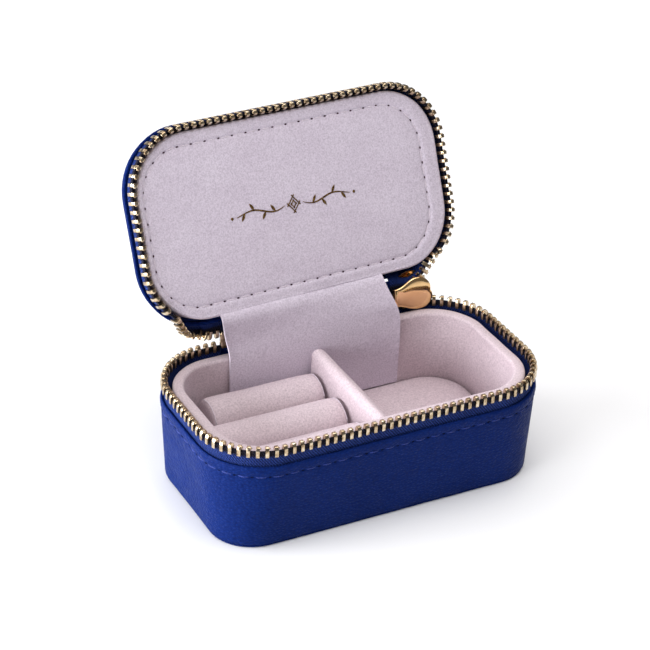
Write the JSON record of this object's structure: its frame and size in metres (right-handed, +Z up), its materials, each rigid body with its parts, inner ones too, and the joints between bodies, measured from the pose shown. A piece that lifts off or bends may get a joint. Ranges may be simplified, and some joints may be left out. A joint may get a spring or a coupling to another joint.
{
  "type": "travel jewelry box",
  "caption": "Small zip-around jewelry gift box in leatherette with a velvet interior, ring rolls, a divider and a lid on a fabric hinge.",
  "frame": {"origin": "centre of the underside, on the surface the box stands on", "axes": "+Z up; +X to the right along the long side; -Y towards the front, with the hinge at +Y"},
  "size_m": [0.1024, 0.0839, 0.0942],
  "materials": {
    "leatherette": "fine pebble grain, satin",
    "zipper_tape": "ribbed woven tape, matte",
    "zipper_teeth": "pale gold plated, polished tips",
    "slider_metal": "gold plated, mirror polished",
    "velvet": "short pile velvet, matte with sheen",
    "foam": "matte",
    "board": "grey board, matte"
  },
  "bodies": {
    "base": {"base_bottom_panel": "leatherette", "base_wall": "leatherette", "base_zipper_tape": "zipper_tape", "base_zipper_teeth": "zipper_teeth", "base_liner": "velvet", "base_liner_core": "board", "floor_board": "board", "floor_pad": "velvet", "divider": "velvet", "hinge_gusset": "leatherette", "hinge_strip": "velvet", "zipper_stop_left": "zipper_teeth", "zipper_stop_right": "zipper_teeth", "ring_roll_front": "velvet", "ring_roll_middle": "velvet", "ring_roll_back": "velvet", "lid_teeth_end_left": "zipper_teeth", "lid_tape_end_left": "zipper_tape", "lid_teeth_end_right": "zipper_teeth", "lid_tape_end_right": "zipper_tape"},
    "lid": {"lid_wall": "leatherette", "lid_top_panel": "leatherette", "lid_zipper_tape": "zipper_tape", "lid_zipper_teeth": "zipper_teeth", "lid_lining": "velvet", "lid_foam": "foam", "lid_board": "board"},
    "slider": {"slider": "slider_metal"},
    "pull": {"pull_tab": "slider_metal"}
  },
  "joints": [
    {"name": "lid_hinge", "type": "hinge", "parent": "base", "child": "lid", "pos_m": [0, 0.0275, 0.0399], "axis": [0.9981, 0.0377, -0.0488], "range_deg": [0, 114], "deforming": ["hinge_strip", "lid_teeth_end_left", "lid_tape_end_left", "lid_teeth_end_right", "lid_tape_end_right"]},
    {"name": "slider_travel", "type": "hinge", "parent": "base", "child": "slider", "pos_m": [0.0325, 0.0095, 0.0354], "axis": [0, 0, 1], "range_deg": [-83, 0]},
    {"name": "pull_swing", "type": "hinge", "parent": "slider", "child": "pull", "pos_m": [0.02995, 0.0303, 0.0354], "axis": [0, 1, 0], "range_deg": [-55, 60]}
  ]
}
